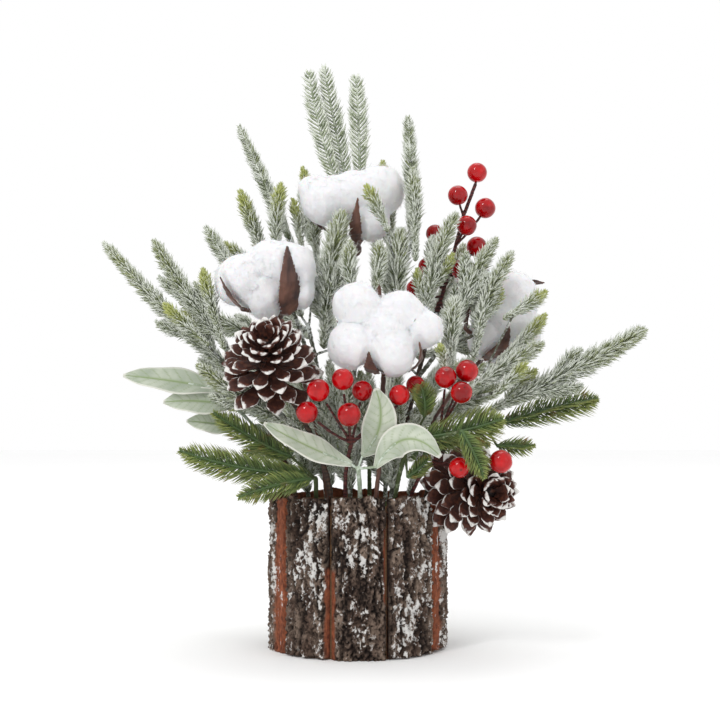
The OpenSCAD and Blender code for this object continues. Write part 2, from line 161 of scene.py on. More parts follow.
def gather(parts):
    """Several (points, faces, attributes) as one."""
    points, faces, marks, start = [], [], {}, 0
    for p, f, a in parts:
        points.append(p)
        if isinstance(f, np.ndarray):
            faces.extend((f + start).tolist())
        else:
            faces.extend([i + start for i in face] for face in f)
        for key, values in a.items():
            marks.setdefault(key, []).append(values)
        start += len(p)
    return np.concatenate(points), faces, {key: np.concatenate(values) for key, values in marks.items()}


def grid_faces(rows, columns, closed=False):
    """Quads of a grid of points; closed joins the last column to the first."""
    faces = []
    for i in range(rows - 1):
        for j in range(columns if closed else columns - 1):
            k = (j + 1) % columns
            faces.append([i * columns + j, i * columns + k, (i + 1) * columns + k, (i + 1) * columns + j])
    return faces


def slab_faces(rows, columns):
    """Faces of two grids of points, the front one first, closed round their edge."""
    count = rows * columns
    front = grid_faces(rows, columns)
    back = [[i + count for i in face[::-1]] for face in front]
    edge = [i * columns for i in range(rows)]
    edge += [(rows - 1) * columns + j for j in range(1, columns)]
    edge += [i * columns + columns - 1 for i in range(rows - 2, -1, -1)]
    edge += range(columns - 2, 0, -1)
    return front + back + [[a, b, b + count, a + count] for a, b in zip(edge, edge[1:] + edge[:1])]


def tube(path, radii, sides):
    """A round tube along a path, closed at both ends."""
    path, radii = np.asarray(path, float), np.asarray(radii, float)
    heading = unit(np.gradient(path, axis=0))
    side = unit(np.cross(heading, [0.31, 0.22, 0.93]))
    face = np.cross(side, heading)
    angle = np.linspace(0, 2 * math.pi, sides, endpoint=False)
    ring = side[:, None] * np.cos(angle)[None, :, None] + face[:, None] * np.sin(angle)[None, :, None]
    points = (path[:, None] + ring * radii[:, None, None]).reshape(-1, 3)
    faces = grid_faces(len(path), sides, closed=True)
    faces.append(list(range(sides))[::-1])
    faces.append([(len(path) - 1) * sides + k for k in range(sides)])
    return points, faces


def spikes(roots, aim, curl, length, half, **tints):
    """Slim needles: each leaves its root along aim and ends along curl."""
    count = len(roots)
    side = unit(np.cross(aim, rng.normal(size=(count, 3))))
    face = np.cross(side, aim)
    middle = roots + aim * (length * 0.55)[:, None]
    tip = middle + curl * (length * 0.45)[:, None]
    points = np.empty((count, 7, 3))
    for k in range(3):
        way = math.cos(k * 2 * math.pi / 3) * side + math.sin(k * 2 * math.pi / 3) * face
        points[:, k] = roots + way * (half * 0.75)[:, None]
        points[:, 3 + k] = middle + way * half[:, None]
    points[:, 6] = tip
    pattern = []
    for k in range(3):
        m = (k + 1) % 3
        pattern += [[k, m, 3 + m], [k, 3 + m, 3 + k], [3 + k, 3 + m, 6]]
    faces = (np.arange(count)[:, None, None] * 7 + np.array(pattern)[None]).reshape(-1, 3)
    marks = {"tip": np.tile([0, 0, 0, 0.55, 0.55, 0.55, 1.0], count)}
    for key, values in tints.items():
        marks[key] = np.repeat(values, 7)
    return points.reshape(-1, 3), faces, marks


# ---- Materials ----

def rgb(*screen):
    """Linear colour from screen values of 0 to 255."""
    return tuple(v / 255 / 12.92 if v < 10 else ((v / 255 + 0.055) / 1.055) ** 2.4 for v in screen) + (1.0,)


class Paint:
    """A material's nodes, with short ways to add what these materials use."""

    def __init__(self, name, **fixed):
        self.material = bpy.data.materials.new(name)
        self.material.use_nodes = True
        self.tree = self.material.node_tree
        self.surface = self.tree.nodes["Principled BSDF"]
        for key, value in fixed.items():
            self.surface.inputs[key.replace("_", " ")].default_value = value
        self.place = self.node("ShaderNodeTexCoord").outputs["Object"]

    def node(self, kind, inputs=None, **settings):
        made = self.tree.nodes.new(kind)
        for key, value in settings.items():
            setattr(made, key, value)
        for key, value in (inputs or {}).items():
            if isinstance(value, bpy.types.NodeSocket):
                self.tree.links.new(value, made.inputs[key])
            else:
                made.inputs[key].default_value = value
        return made

    def mark(self, name):
        return self.node("ShaderNodeAttribute", attribute_name=name).outputs["Fac"]

    def speckle(self, scale, detail=3.0, stretch=(1, 1, 1), rough=0.5):
        place = self.node("ShaderNodeMapping", {"Vector": self.place, "Scale": stretch}).outputs["Vector"]
        inputs = {"Vector": place, "Scale": scale, "Detail": detail, "Roughness": rough}
        return self.node("ShaderNodeTexNoise", inputs).outputs["Fac"]

    def facing_up(self):
        normal = self.node("ShaderNodeNewGeometry").outputs["Normal"]
        return self.node("ShaderNodeSeparateXYZ", {0: normal}).outputs["Z"]

    def span(self, value, low, high):
        """A value as its share of the way from low to high."""
        return self.node("ShaderNodeMapRange", {"Value": value, 1: low, 2: high}).outputs[0]

    def sum(self, a, b, operation="ADD"):
        return self.node("ShaderNodeMath", {0: a, 1: b}, operation=operation).outputs[0]

    def mix(self, share, a, b):
        return self.node("ShaderNodeMix", {0: share, 6: a, 7: b}, data_type="RGBA").outputs[2]

    def finish(self, colour, height=None, depth=0.0003, strength=0.5):
        self.tree.links.new(colour, self.surface.inputs["Base Color"])
        if height is not None:
            bump = self.node("ShaderNodeBump", {"Height": height, "Distance": depth, "Strength": strength})
            self.tree.links.new(bump.outputs["Normal"], self.surface.inputs["Normal"])
        return self.material


def frosted_paint(name, dark, leaf, bud, white, level):
    """Flocked needles: whiter on top, at their tips and in clumps, and bare where they are young."""
    p = Paint(name, Roughness=0.75, Specular_IOR_Level=0.25)
    green = p.mix(p.mark("shade"), dark, leaf)
    green = p.mix(p.mark("bud"), green, bud)
    grain = p.speckle(1300, 2.0)
    clump = p.speckle(260, 2.0)
    frost = p.sum(p.sum(grain, clump), p.sum(p.facing_up(), 0.22, "MULTIPLY"))
    frost = p.sum(frost, p.sum(p.mark("tip"), 0.28, "MULTIPLY"))
    frost = p.sum(frost, p.sum(p.mark("bud"), -0.45, "MULTIPLY"))
    frost = p.span(frost, level, level + 1 / 2.6)
    return p.finish(p.mix(frost, green, white), grain, 0.0002, 0.4)


FROSTED = frosted_paint("frosted_needles", rgb(76, 86, 64), rgb(142, 152, 120), rgb(186, 192, 112),
                        rgb(220, 224, 214), 0.90)
SILVER = frosted_paint("silver_needles", rgb(104, 116, 90), rgb(168, 178, 148), rgb(176, 184, 108),
                       rgb(226, 230, 218), 0.97)


def flock_paint(name, base, white, level):
    p = Paint(name, Roughness=0.85, Specular_IOR_Level=0.2)
    grain = p.speckle(900, 3.0)
    clump = p.speckle(170, 2.0)
    share = p.span(p.sum(grain, clump), level, level + 0.25)
    return p.finish(p.mix(share, base, white), grain, 0.0003, 0.5)


FLOCK = flock_paint("frosted_stem", rgb(86, 88, 76), rgb(214, 218, 216), 0.95)
LEAF_STEM = flock_paint("leaf_stem", rgb(72, 82, 52), rgb(150, 164, 132), 1.08)
FELT_STEM = flock_paint("felt_stem", rgb(150, 164, 140), rgb(196, 206, 194), 0.9)


def tape_paint(name, dark, light):
    """Paper tape wound round a wire."""
    p = Paint(name, Roughness=0.6, Specular_IOR_Level=0.35)
    fibre = p.speckle(700, 4.0, (1, 1, 0.35))
    turns = {"Vector": p.place, "Scale": 160.0, "Distortion": 6.0}
    wound = p.node("ShaderNodeTexWave", turns, bands_direction="Z").outputs["Fac"]
    return p.finish(p.mix(p.sum(fibre, wound, "MULTIPLY"), dark, light), wound, 0.0002, 0.5)


TAPE = tape_paint("wire_tape", rgb(40, 28, 22), rgb(92, 68, 50))
BERRY_STEM = tape_paint("berry_stem", rgb(46, 16, 16), rgb(112, 52, 46))


def green_paint():
    p = Paint("green_needles", Roughness=0.42, Specular_IOR_Level=0.45)
    green = p.mix(p.mark("shade"), rgb(36, 62, 36), rgb(92, 122, 66))
    green = p.mix(p.sum(p.mark("tip"), p.mark("bud"), "MULTIPLY"), green, rgb(164, 170, 92))
    brown = p.span(p.speckle(120, 2.0), 0.62, 0.72)
    green = p.mix(p.sum(brown, p.mark("tip"), "MULTIPLY"), green, rgb(150, 104, 56))
    return p.finish(green, p.speckle(1500, 2.0), 0.0001, 0.3)


def cotton_paint():
    p = Paint("cotton_lint", Roughness=0.95, Specular_IOR_Level=0.1, Sheen_Weight=0.3,
              Subsurface_Weight=0.2, Subsurface_Scale=0.004)
    fibre = p.speckle(420, 5.0, (1, 1, 1), 0.65)
    # Painted shade: the white lint is coloured grey where it lies deep in its folds.
    colour = p.mix(p.mark("crease"), rgb(225, 225, 227), rgb(150, 146, 149))
    colour = p.mix(p.span(fibre, 0.5, 0.85), colour, rgb(236, 236, 238))
    return p.finish(colour, fibre, 0.0004, 0.35)


def husk_paint():
    p = Paint("boll_husk", Roughness=0.5, Specular_IOR_Level=0.4, Sheen_Weight=0.25)
    streak = p.speckle(260, 4.0, (1, 1, 0.16))
    colour = p.mix(p.span(streak, 0.3, 0.72), rgb(48, 26, 22), rgb(116, 76, 60))
    return p.finish(colour, streak, 0.0004, 0.6)


def cone_paint():
    p = Paint("cone_wood", Roughness=0.55, Specular_IOR_Level=0.35)
    streak = p.speckle(500, 4.0)
    wood = p.mix(p.mark("along"), rgb(24, 14, 13), rgb(74, 40, 32))
    wood = p.mix(p.span(streak, 0.48, 0.78), wood, rgb(112, 66, 48))
    dabs = p.sum(p.speckle(230, 3.0), p.sum(p.mark("rim"), 0.52, "MULTIPLY"))
    return p.finish(p.mix(p.span(dabs, 0.88, 1.0), wood, rgb(228, 226, 222)), streak, 0.0003, 0.5)


def berry_paint():
    p = Paint("berry_skin", Roughness=0.1, Specular_IOR_Level=0.4)
    blush = p.speckle(150, 2.0)
    red = p.mix(p.span(blush, 0.3, 0.75), rgb(126, 0, 4), rgb(196, 3, 12))
    return p.finish(p.mix(p.mark("navel"), red, rgb(46, 12, 10)), p.speckle(400, 2.0), 0.0001, 0.2)


def felt_paint():
    p = Paint("felt_leaf", Roughness=0.95, Specular_IOR_Level=0.15, Sheen_Weight=0.4)
    pile = p.speckle(1500, 4.0)
    colour = p.mix(p.span(p.speckle(110, 2.0), 0.3, 0.7), rgb(160, 170, 152), rgb(192, 198, 182))
    colour = p.mix(p.mark("vein"), colour, rgb(134, 152, 106))
    colour = p.mix(p.mark("rim"), colour, rgb(216, 216, 206))
    return p.finish(colour, pile, 0.0002, 0.5)


def bark_paint():
    p = Paint("bark", Roughness=0.85, Specular_IOR_Level=0.2)
    grain = p.speckle(520, 6.0, (1, 1, 0.55), 0.7)
    patch = p.speckle(120, 4.0, (1, 1, 0.6))
    grey = p.mix(p.span(patch, 0.38, 0.66), rgb(92, 74, 64), rgb(142, 124, 110))
    crust = p.mix(p.mark("ridge"), rgb(28, 21, 18), grey)
    crust = p.mix(p.span(grain, 0.52, 0.36), crust, rgb(40, 30, 26))
    raw = p.mix(p.span(grain, 0.35, 0.65), rgb(82, 44, 32), rgb(154, 88, 60))
    crust = p.mix(p.mark("cambium"), crust, raw)
    dabs = p.sum(p.speckle(260, 6.0, (1, 1, 0.6), 0.72), p.sum(p.mark("ridge"), 0.16, "MULTIPLY"))
    dabs = p.sum(dabs, p.sum(p.mark("snow"), 0.17, "MULTIPLY"))
    dabs = p.sum(dabs, p.sum(p.mark("cambium"), -0.07, "MULTIPLY"))
    return p.finish(p.mix(p.span(dabs, 0.775, 0.83), crust, rgb(216, 214, 211)), grain, 0.0008, 0.8)


def foam_paint():
    p = Paint("floral_foam", Roughness=0.95, Specular_IOR_Level=0.1)
    cells = p.speckle(1400, 2.0)
    return p.finish(p.mix(cells, rgb(36, 46, 26), rgb(92, 104, 62)), cells, 0.0003, 0.6)


def board_paint(name, dark, light, stretch):
    p = Paint(name, Roughness=0.8, Specular_IOR_Level=0.25)
    grain = p.speckle(300, 4.0, stretch)
    return p.finish(p.mix(grain, dark, light), grain, 0.0002, 0.4)


GREEN, COTTON, HUSK, CONE = green_paint(), cotton_paint(), husk_paint(), cone_paint()
BERRY, FELT, BARK, FOAM = berry_paint(), felt_paint(), bark_paint(), foam_paint()
CARD = board_paint("liner_card", rgb(92, 66, 46), rgb(150, 116, 84), (1, 1, 6))
WOOD = board_paint("base_wood", rgb(150, 116, 82), rgb(204, 172, 132), (0.2, 1, 1))


# ---- Room for the tall berries, which bend ----

def berry_places(node):
    """Middles of a pick's berries over the whole travel of its joint, and their radius."""
    steps = 14
    joint = next(j for j in frame["joints"] if j["child"] == body[node])
    pivot, axis = Vector(joint["pos_m"]), Vector(joint["axis"])
    middles, radius = [], 0.0
    for points, _ in islands(node):
        low, high = points.min(0), points.max(0)
        radius = max(radius, (high - low).max() / 2)
        for angle in np.linspace(*joint["range_deg"], steps):
            turn = Matrix.Rotation(math.radians(angle), 3, axis)
            middles.append(pivot + turn @ (Vector((low + high) / 2) - pivot))
    return np.array(middles), radius


swept_middles, swept_radius = berry_places("berry_tall_berries")


def clear_of_berries(points):
    """Which points lie outside the room that the tall berries move in."""
    room = swept_radius + 0.8 * MM
    free = np.ones(len(points), bool)
    for middle in swept_middles:
        free &= np.linalg.norm(points - middle, axis=1) > room
    return free


# ---- Fir ----

# How a kind of branchlet carries its needles: mm between whorls, needles in a whorl and degrees
# of lean; then, where a kind differs from the usual, how flat the whorls are from 0 to 1, half
# a needle's thickness in mm, and how many mm before the sleeve the needles start.
FULL = {"spacing": 0.75, "whorl": 9, "lean": 50, "half": 0.44}
SHORT = {"spacing": 0.9, "whorl": 7, "lean": 46}
LONG = {"spacing": 1.2, "whorl": 6, "lean": 42, "flat": 0.8}
CHEVRON = {"spacing": 2.1, "whorl": 6, "lean": 44, "flat": 0.55, "half": 0.62, "back": 1.0}
SHOOT = {"spacing": 0.85, "whorl": 8, "lean": 48, "back": 0.0}
FOOT = {"spacing": 1.0, "whorl": 7, "lean": 40, "back": 0.0}
# Reach of the middle of a slim sleeve and of a middling one, in mm.
SLIM, MIDDLING = 3.75, 4.15


def run(line):
    """Length along a line of points."""
    return np.linalg.norm(np.diff(line, axis=0), axis=1).sum()


def sleeve_line(points, tris):
    """Middle line of a sleeve of needles and its reach along it."""
    ring = rings(points, tris)
    centres = np.array([r.mean(0) for r in ring])
    reach = np.array([np.linalg.norm(r - r.mean(0), axis=1).mean() for r in ring])
    reach[-1] = reach[-2] * 0.8
    return centres, reach


def branchlet(centres, reach, bud, spacing, whorl, lean, flat=0.0, half=0.42, back=5.0):
    """Needles round a branchlet's own path and of its own reach; bud is how yellow-green its end is."""
    length = run(centres)
    stations = max(8, int(length / (spacing * MM)))
    t = (np.arange(stations) + 0.5) / stations
    path, width = smooth(centres, t), smooth(reach, t)
    before = int(back / spacing)
    if before:
        first = unit(centres[0] - centres[1])
        path = np.concatenate([path[0] + first * (np.arange(before, 0, -1) * spacing * MM)[:, None], path])
        width = np.concatenate([np.linspace(width[0] * 0.8, width[0], before), width])
        t = np.concatenate([np.zeros(before), t])
    stations = len(path)
    heading = unit(np.gradient(path, axis=0))
    side = unit(np.cross(heading, [0.05, 1.0, 0.1]))
    face = np.cross(side, heading)
    index = np.repeat(np.arange(stations), whorl)
    count = len(index)
    turn = index * GOLDEN + np.tile(np.arange(whorl), stations) * 2 * math.pi / whorl
    if flat:
        turn = np.tile(np.arange(whorl) % 2, stations) * math.pi + rng.choice([-0.6, 0, 0.6], count) * flat
    turn = turn + rng.normal(0, 0.08 if flat else 0.22, count)
    out = side[index] * np.cos(turn)[:, None] + face[index] * np.sin(turn)[:, None]
    ends = np.clip((1 - t[index]) * length / (5 * MM), 0, 1)
    closed = rng.uniform(0.2, 1.0, count)
    open_lean = rng.normal(1, 0.04 if flat else 0.10, count)
    angle = np.radians(lean) * (closed * (1 - ends) + ends * open_lean)
    aim = heading[index] * np.cos(angle)[:, None] + out * np.sin(angle)[:, None]
    curl = unit(aim + heading[index] * 0.3 + rng.normal(0, 0.14, aim.shape))
    size = width[index] / math.sin(math.radians(lean)) * rng.uniform(0.8, 1.12, count) * (0.55 + 0.45 * ends)
    thick = half * MM * rng.uniform(0.8, 1.2, count)
    young = np.clip((t[index] - 0.3) * 2, 0.1, 1)
    tinted = np.clip(bud * young + rng.normal(0, 0.06, count), 0, 1)
    twig = tube(smooth(centres, np.linspace(0, 1, 16)), np.linspace(0.9, 0.5, 16) * MM, 7)
    tints = (("tip", 0.3), ("shade", 0.2), ("bud", bud * 0.4))
    marks = {key: np.full(len(twig[0]), value) for key, value in tints}
    aim, roots, shade = unit(aim), path[index], rng.uniform(0, 1, count)
    middle = roots + aim * (size * 0.55)[:, None]
    free = clear_of_berries(middle) & clear_of_berries(middle + curl * (size * 0.45)[:, None])
    values = [v[free] for v in (roots, aim, curl, size, thick)]
    return [spikes(*values, shade=shade[free], bud=tinted[free]), (*twig, marks)]


def side_shoot(centres, reach, place, turn, length):
    """Middle line and reach of a short shoot that leaves a branchlet and bends up along it."""
    root = smooth(centres, [place])[0]
    heading = unit(smooth(centres, [min(place + 0.1, 1)])[0] - root)
    side = unit(np.cross(heading, [0.05, 1.0, 0.1]))
    out = side * math.cos(turn) + np.cross(side, heading) * math.sin(turn)
    t = np.linspace(0, 1, 7)[:, None]
    line = root + (heading * (0.8 * t + 0.15 * t * t) + out * (0.62 * t - 0.22 * t * t)) * length
    return line, np.interp(t[:, 0], [0, 0.2, 0.7, 1], [0.6, 1, 0.95, 0.7]) * reach.max() * 0.85


def stem_foot(node):
    """The straight stretch of a stem above the foam, as a middle line and a reach."""
    points, _ = welded(node)
    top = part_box("floral_foam")[1].z
    low = points[np.abs(points[:, 2] - top) < 2.5 * MM].mean(0)
    over = points[points[:, 2] > top + 8 * MM]
    high = over[over[:, 2] < over[:, 2].min() + 2 * MM].mean(0)
    return low + np.linspace(0.25, 0.95, 7)[:, None] * (high - low), np.full(7, 3.6 * MM)


def foot_needles(node, roomy):
    """Needles and rising shoots at the foot of a pick's stem; only needles, and short, if not roomy."""
    foot, wide = stem_foot(node.replace("_needles", "_stem"))
    parts = branchlet(foot, wide if roomy else wide * 0.6, 0.1, **FOOT)
    for k in range(4 if roomy else 0):
        turn = k * GOLDEN + rng.normal(0, 0.3)
        shoot = side_shoot(foot, wide * 1.5, 0.2 + 0.25 * k, turn, rng.uniform(0.034, 0.052))
        parts += branchlet(*shoot, 0.15, **SHOOT)
    return parts


def sleeve_needles(node, points, tris, roomy):
    """The needles that stand for one sleeve, of the kind that its reach and length call for."""
    centres, reach = sleeve_line(points, tris)
    slim = reach[2:4].mean() / MM
    length = run(centres)
    if node == "silver_top_needles":
        return branchlet(centres, reach * 1.8, 0.0, **CHEVRON)
    if slim < SLIM and length > 30 * MM:
        return branchlet(centres, reach * 1.45, 0.1, **LONG)
    if slim < SLIM:
        return branchlet(centres, reach * 1.35, 0.85, **SHORT)
    bud = 0.8 if slim < MIDDLING or "upper_left" in node else 0.28
    parts = branchlet(centres, reach * 1.22, bud, **FULL, back=12.0 if roomy else 7.0)
    if length > 42 * MM:
        for k, place in enumerate((0.03, 0.2, 0.36)):
            turn = k * math.pi + rng.normal(0.3, 0.5)
            shoot = side_shoot(centres, reach, place, turn, rng.uniform(0.017, 0.023))
            parts += branchlet(*shoot, rng.choice([0.1, 0.1, 0.7]), **SHOOT)
    return parts


for node in sorted(n for n in nodes if n.endswith("_needles")):
    # The low pick stands against the right cone, and the long one bends.
    roomy = "low" not in node and "long" not in node
    parts = []
    if node.startswith("frosted") and "long" not in node:
        parts += foot_needles(node, roomy)
    for points, tris in islands(node):
        parts += sleeve_needles(node, points, tris, roomy)
    points, faces, marks = gather(parts)
    paint = SILVER if node.startswith("silver") else FROSTED
    piece(node.replace("_needles", "_foliage"), points, faces, paint, [node], **marks)


# ---- Blades: felt leaves and green fronds ----

def blade(ring_list):
    """Middle line, half width and width direction along a flat swept solid."""
    centres, wide, half = [], [], []
    for ring in ring_list:
        middle = ring.mean(0)
        _, _, axes = np.linalg.svd(ring - middle)
        if wide and axes[0] @ wide[-1] < 0:
            axes[0] = -axes[0]
        centres.append(middle)
        wide.append(axes[0])
        half.append(np.abs((ring - middle) @ axes[0]).max())
    return np.array(centres), np.array(half), np.array(wide)


def leaf(ring_list):
    """A felt leaf with a thick rolled edge, a groove down its middle and side veins."""
    fold, wave, front = 0.16, 0.5, np.array([0, -1, 0.5])
    centres, half, wide = blade(ring_list)
    rows, columns = 56, 25
    t = np.linspace(0, 1, rows)
    path, width = smooth(centres, t), np.maximum(smooth(half, t), 0.4 * MM)
    width[0] = max(width[0], 1.2 * MM)
    across = unit(smooth(wide, t))
    heading = unit(np.gradient(path, axis=0))
    normal = unit(np.cross(across, heading))
    if (normal @ front).mean() < 0:
        normal, across = -normal, -across
    v = np.linspace(-1, 1, columns)
    edge = np.abs(v)
    ripple = wave * np.sin(t * 15 + 1.3)[:, None] * edge[None] ** 2 * np.sign(v)[None]
    lift = fold * width[:, None] * (edge[None] ** 1.6) + ripple * MM
    veins = np.abs(((t[:, None] * 9 - edge[None] * 1.3) % 1) - 0.5) * 2
    groove = np.exp(-(v / 0.09) ** 2)[None] * np.ones((rows, 1))
    side_vein = np.clip(1 - veins * 5, 0, 1) * np.clip(edge * 6, 0, 1)[None]
    side_vein = side_vein * np.clip((0.93 - edge) * 8, 0, 1)[None]
    puff = (1 - side_vein) * 0.16 - groove * 0.35
    thick = (0.34 + 0.30 * np.clip((edge - 0.84) / 0.12, 0, 1))[None] * np.ones((rows, 1))
    thick *= np.sqrt(np.clip(1 - edge[None] ** 14, 0.02, 1))
    middle = path[:, None] + across[:, None] * (v[None, :, None] * width[:, None, None])
    middle = middle + normal[:, None] * lift[:, :, None]
    top = middle + normal[:, None] * ((thick + puff * np.clip(1 - edge ** 4, 0, 1)[None]) * MM)[:, :, None]
    low = middle - normal[:, None] * (thick * MM)[:, :, None]
    points = np.concatenate([top.reshape(-1, 3), low.reshape(-1, 3)])
    marks = np.clip((edge - 0.86) / 0.08, 0, 1)[None] * np.ones((rows, 1))
    marks = np.maximum(marks, np.clip((t[:, None] - 0.965) / 0.02, 0, 1))
    vein = np.maximum(groove, side_vein * 0.7)
    marks = {"rim": np.tile(marks.ravel(), 2), "vein": np.tile(vein.ravel(), 2)}
    return points, slab_faces(rows, columns), marks


def frond(ring_list):
    """A feather of needles in three layers, with a rib, a little wider than its blade."""
    spacing, layers = 0.95, 6
    centres, half, wide = blade(ring_list)
    length = run(centres)
    stations = int(length / (spacing * MM))
    t = (np.arange(stations) + 0.5) / stations
    path, width = smooth(centres, t), smooth(half, t)
    across = unit(smooth(wide, t))
    heading = unit(np.gradient(path, axis=0))
    normal = unit(np.cross(across, heading))
    index = np.repeat(np.arange(stations), layers)
    row = np.tile(np.arange(layers), stations)
    hand = np.where(row % 2, -1.0, 1.0)
    rise = (row // 2 - 1) * 0.55 + rng.normal(0, 0.07, len(index))
    out = across[index] * (hand * np.cos(rise))[:, None] + normal[index] * np.sin(rise)[:, None]
    lean = np.radians(rng.normal(54, 3, len(index)))
    aim = unit(heading[index] * np.cos(lean)[:, None] + out * np.sin(lean)[:, None])
    curl = unit(aim + heading[index] * 0.35 + rng.normal(0, 0.05, aim.shape))
    ends = np.clip((1 - t[index]) * length / (9 * MM), 0, 1)
    size = np.maximum(width[index] * 1.25, 3 * MM) / np.sin(lean)
    size = size * rng.uniform(0.92, 1.12, len(index)) * (0.6 + 0.4 * ends)
    thick = 0.38 * MM * rng.uniform(0.85, 1.15, len(index))
    shade = np.clip(rng.normal(0.5, 0.28, len(index)), 0, 1)
    bud = np.clip(rng.normal(0.45, 0.2, len(index)) + t[index] * 0.5, 0, 1)
    rib = tube(smooth(centres, np.linspace(0, 1, 20)), np.linspace(1.0, 0.5, 20) * MM, 7)
    marks = {key: np.full(len(rib[0]), value) for key, value in (("tip", 0.2), ("shade", 0.35), ("bud", 0.2))}
    return [spikes(path[index], aim, curl, size, thick, shade=shade, bud=bud), (*rib, marks)]


for node in sorted(n for n in nodes if n.endswith("_fronds")):
    parts = []
    for points, tris in islands(node):
        parts += frond(rings(points, tris))
    points, faces, marks = gather(parts)
    piece(node.replace("_fronds", "_feathers"), points, faces, GREEN, [node], **marks)

for node in sorted(n for n in nodes if n.endswith("_leaves")):
    points, faces, marks = gather([leaf(rings(p, t)) for p, t in islands(node)])
    piece(node.replace("_leaves", "_felt"), points, faces, FELT, [node], **marks)


# ---- Remeshed solids: stems, husks and lint ----

def surface(mesh):
    """A mesh's points and their normals."""
    co, normals = np.empty(len(mesh.vertices) * 3), np.empty(len(mesh.vertices) * 3)
    mesh.vertices.foreach_get("co", co)
    mesh.vertices.foreach_get("normal", normals)
    return co.reshape(-1, 3), normals.reshape(-1, 3)


def remeshed(name, node, paint, voxel, rounds=2, wrinkle=0.0, grain=0.0):
    """A fine, softened copy of a CAD node; voxel and wrinkle in mm, grain in wrinkles per metre."""
    points, tris = welded(node)
    mesh = bpy.data.meshes.new(name)
    mesh.from_pydata([tuple(p) for p in points], [], tris.tolist())
    made = bpy.data.objects.new(name, mesh)
    bpy.context.scene.collection.objects.link(made)
    cut = made.modifiers.new("cut", "REMESH")
    cut.mode, cut.voxel_size = "VOXEL", voxel * MM
    soften = made.modifiers.new("soften", "SMOOTH")
    soften.factor, soften.iterations = 0.5, rounds
    ready = bpy.data.meshes.new_from_object(made.evaluated_get(bpy.context.evaluated_depsgraph_get()))
    made.modifiers.clear()
    made.data = ready
    ready.materials.clear()
    ready.materials.append(paint)
    ready.shade_smooth()
    if wrinkle:
        co, normals = surface(ready)
        bumps = np.array([noise.noise(Vector(p) * grain) for p in co])
        ready.vertices.foreach_set("co", (co + normals * bumps[:, None] * wrinkle * MM).ravel())
    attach(made, body[node])
    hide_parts(node)
    return made


for node in sorted(n for n in nodes if n.endswith(("_stem", "_stems", "_wire", "_wires"))):
    if node.startswith("cotton"):
        remeshed(node.replace("_stem", "_husk"), node, HUSK, 0.42, wrinkle=0.3, grain=420.0)
    elif node.startswith("berry"):
        remeshed(node + "_tape", node, BERRY_STEM, 0.36, wrinkle=0.12, grain=700.0)
    elif node.startswith(("pine", "bend")):
        remeshed(node + "_tape", node, TAPE, 0.5, wrinkle=0.15, grain=600.0)
    elif node.startswith("lambs"):
        remeshed(node + "_tape", node, FELT_STEM, 0.45, wrinkle=0.1, grain=600.0)
    elif node.startswith("green"):
        remeshed(node + "_tape", node, LEAF_STEM, 0.45, wrinkle=0.15, grain=600.0)
    else:
        remeshed(node + "_flock", node, FLOCK, 0.45, rounds=1, wrinkle=0.3, grain=900.0)


def around(values, edges):
    """Each point's value replaced by the mean of its neighbours'."""
    here, there, count = edges.ravel(), edges[:, ::-1].ravel(), len(values)
    total = np.stack([np.bincount(here, values[there, k], count) for k in range(3)], -1)
    return total / np.maximum(np.bincount(here, minlength=count), 1)[:, None]


def cotton(node):
    """Lint with soft folds that carry painted shade, pressed in under its bracts, and loose fibres over it."""
    lint = remeshed(node + "_fluff", node, COTTON, 0.9, rounds=16)
    mesh = lint.data
    count = len(mesh.vertices)
    co, normals = surface(mesh)
    edges = np.empty(len(mesh.edges) * 2, int)
    mesh.edges.foreach_get("vertices", edges)
    edges = edges.reshape(-1, 2)
    # Smoothing shrinks the locks, so they are swelled again.
    for _ in range(34):
        co = around(co, edges)
    co = co + normals * 0.9 * MM
    lump = np.array([noise.fractal(Vector(p) * 95, 0.7, 2.1, 4) for p in co])
    folds = [Vector((p[0] * 160, p[1] * 160, p[2] * 90)) + Vector((3, 8, 1)) for p in co]
    ridge = np.array([abs(noise.noise(place)) for place in folds])
    co = co + normals * ((lump * 0.55 - ridge * 0.9 + 0.9) * MM)[:, None]
    wide = co
    for _ in range(16):
        wide = around(wide, edges)
    # How deeply each point sits in a fold sets the painted shade that darkens the lint there; the fibres get none.
    hollow = ((wide - co) * normals).sum(1)
    crease = np.clip(hollow / (0.5 * MM), 0, 1)
    husk = BVHTree.FromPolygons(*(a.tolist() for a in welded(node.replace("_lint", "_stem"))))
    gap = np.array([husk.find_nearest(Vector(p))[3] for p in co])
    co = co - normals * (np.clip(1 - gap / (3 * MM), 0, 1) * 2.0 * MM)[:, None]
    mesh.vertices.foreach_set("co", co.ravel())
    mesh.attributes.new("crease", "FLOAT", "POINT").data.foreach_set("value", crease.astype(np.float32))
    most_fibres = 1600
    picks = rng.choice(count, min(count, most_fibres), replace=False)
    picks = picks[clear_of_berries(co[picks] + normals[picks] * 2 * MM)]
    lie = unit(np.cross(normals[picks], rng.normal(size=(len(picks), 3))))
    aim = unit(lie + normals[picks] * rng.uniform(0.15, 0.9, len(picks))[:, None])
    curl = unit(lie + rng.normal(0, 0.5, lie.shape) + normals[picks] * 0.1)
    size = rng.uniform(1.5, 4.0, len(picks)) * MM
    hair = spikes(co[picks], aim, curl, size, np.full(len(picks), 0.06 * MM), crease=np.zeros(len(picks)))
    piece(node + "_fibres", hair[0], hair[1], COTTON, rides=body[node], **hair[2])


for node in sorted(n for n in nodes if n.endswith("_lint")):
    cotton(node)


# ---- Berries ----

